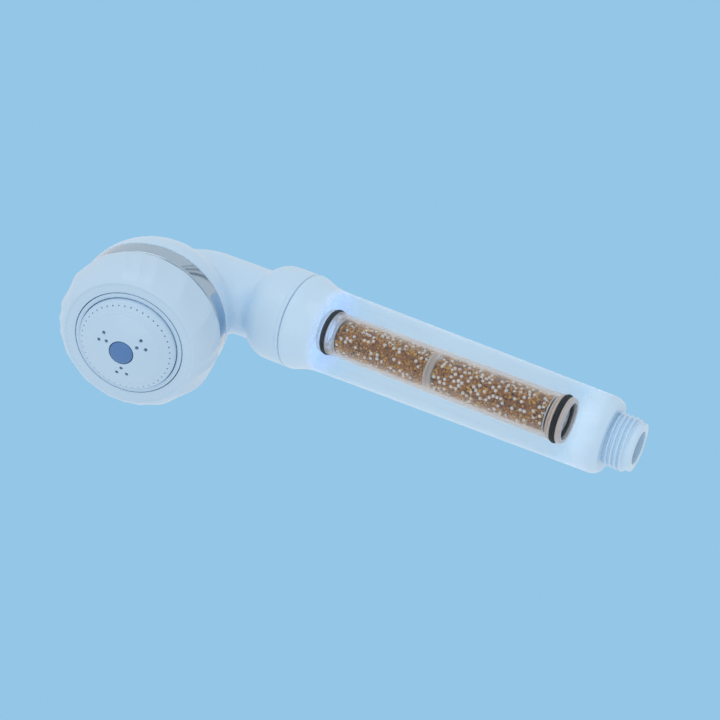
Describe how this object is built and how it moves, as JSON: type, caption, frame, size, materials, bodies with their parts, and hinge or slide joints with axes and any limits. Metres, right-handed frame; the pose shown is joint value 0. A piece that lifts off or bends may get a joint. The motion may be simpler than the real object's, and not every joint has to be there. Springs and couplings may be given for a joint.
{
  "type": "handheld shower head",
  "caption": "Handheld shower head with a see-through filter handle, a screwed-on elbow head with a chrome band, and a fluted dial around the spray face that sets the spray.",
  "frame": {"origin": "centre of the hose inlet's end face, on the handle's axis", "axes": "+X out of the inlet along the handle's axis, so the whole object lies on the -X side. -Y is the side the spray leaves, at 17.9 degrees from -Y towards +X. +Z is square to the plane of symmetry through the handle and the head"},
  "size_m": [0.23, 0.0882, 0.066],
  "materials": {
    "ghost_white": "glossy moulded plastic, see-through white with a blue tint",
    "gloss_white": "glossy moulded plastic, cool white",
    "dial_white": "glossy moulded plastic with soft grip flutes",
    "face_white": "smooth glossy moulded plastic with fine spray holes",
    "chrome_trim": "chromed plastic band",
    "blue_plastic": "glossy blue moulded cap",
    "clear_plastic": "clear polished tube with a faint warm tint",
    "grey_cap": "grey-pink see-through moulded plastic",
    "black_rubber": "black sealing rubber",
    "steel": "bare stainless steel",
    "natural_plastic": "uncoloured engineering plastic",
    "filter_granules": "brown and dark mineral granules with small white balls among them"
  },
  "bodies": {
    "handle": {"handle_tube": "ghost_white", "inlet_screen": "steel", "flow_restrictor": "natural_plastic", "restrictor_seal": "black_rubber", "centring_ring": "ghost_white", "cartridge_inlet_cap": "grey_cap", "cartridge_head_cap": "clear_plastic", "cartridge_tube": "clear_plastic", "cartridge_inlet_seal": "black_rubber", "cartridge_head_seal": "black_rubber", "cartridge_face_gasket": "black_rubber", "strainer_disc": "grey_cap", "inlet_mesh": "steel", "outlet_mesh": "steel", "cartridge_divider": "clear_plastic", "inlet_granules": "filter_granules", "outlet_granules": "filter_granules"},
    "gasket": {"joint_gasket": "black_rubber"},
    "head": {"head_shell": "gloss_white", "trim_ring": "chrome_trim", "valve_base": "natural_plastic", "port_seal": "black_rubber", "port_spring": "steel", "detent_ball": "steel", "detent_spring": "steel", "centre_screw": "steel", "screw_washer": "steel"},
    "dial": {"spray_dial": "dial_white", "face_ring": "gloss_white", "spray_plate": "face_white", "centre_cap": "blue_plastic", "chamber_body": "natural_plastic"},
    "rotor": {"turbine_rotor": "natural_plastic"}
  },
  "joints": [
    {"name": "head_slide", "type": "slide", "parent": "handle", "child": "gasket", "axis": [-1, 0, 0], "range_m": [0, 0.00751]},
    {"name": "head_turn", "type": "hinge", "parent": "gasket", "child": "head", "pos_m": [-0.1461, 0, 0], "axis": [-1, 0, 0], "range_deg": [0, 900]},
    {"name": "dial_turn", "type": "hinge", "parent": "head", "child": "dial", "pos_m": [-0.2095, 0, 0], "axis": [0.3074, -0.9516, 0], "range_deg": [-60, 60]},
    {"name": "rotor_spin", "type": "hinge", "parent": "dial", "child": "rotor", "pos_m": [-0.2095, 0, 0], "axis": [0.3074, -0.9516, 0], "continuous": true}
  ],
  "couplings": [
    {"joint": "head_slide", "follows": "head_turn", "m_per_rad": 0.00047746}
  ]
}
